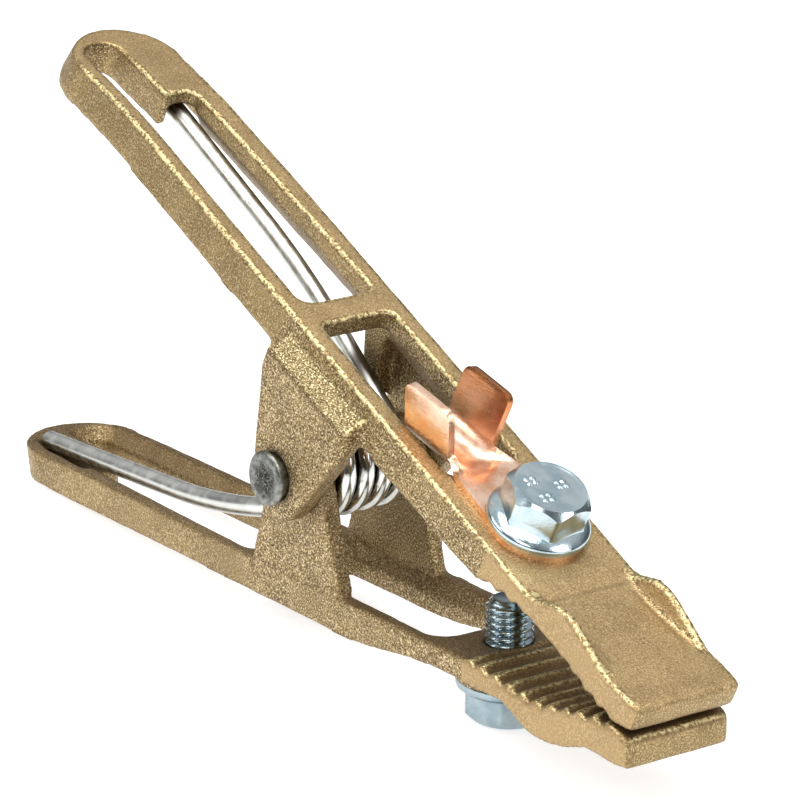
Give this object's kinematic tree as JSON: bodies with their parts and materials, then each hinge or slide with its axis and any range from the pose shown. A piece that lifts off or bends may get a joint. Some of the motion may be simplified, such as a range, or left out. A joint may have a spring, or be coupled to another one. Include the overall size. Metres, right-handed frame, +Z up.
{
  "type": "ground clamp",
  "caption": "Spring-closed ground clamp of cast brass levers on a pivot, with toothed jaws, flange bolts through the jaws and a crimp terminal for the welding cable.",
  "frame": {"origin": "under the middle of the clamp as it rests on a bench, at the lowest point", "axes": "+X from the handles to the jaws, +Y along the pivot, +Z up; the upper lever carries the cable terminal"},
  "size_m": [0.1828, 0.035, 0.0857],
  "materials": {
    "cast_brass": "sand cast, blasted, with rubbed bright edges",
    "zinc_plated_steel": "blue-white zinc plate",
    "copper": "bare sheet copper, bright with scuffs",
    "rivet_steel": "spun grey steel",
    "spring_steel": "bright plated wire"
  },
  "bodies": {
    "lower": {"lower_lever": "cast_brass", "lower_flange_bolt": "zinc_plated_steel", "torsion_spring": "spring_steel"},
    "upper": {"upper_lever": "cast_brass", "upper_flange_bolt": "zinc_plated_steel", "cable_terminal": "copper", "pivot_rivet": "rivet_steel"}
  },
  "joints": [
    {"name": "jaw_hinge", "type": "hinge", "parent": "lower", "child": "upper", "pos_m": [-0.00003, 0, 0.02979], "axis": [0, 1, 0], "range_deg": [-40, 0], "stiffness_Nm_per_rad": 8.1, "springref_deg": 20.05, "deforming": ["torsion_spring"]}
  ]
}
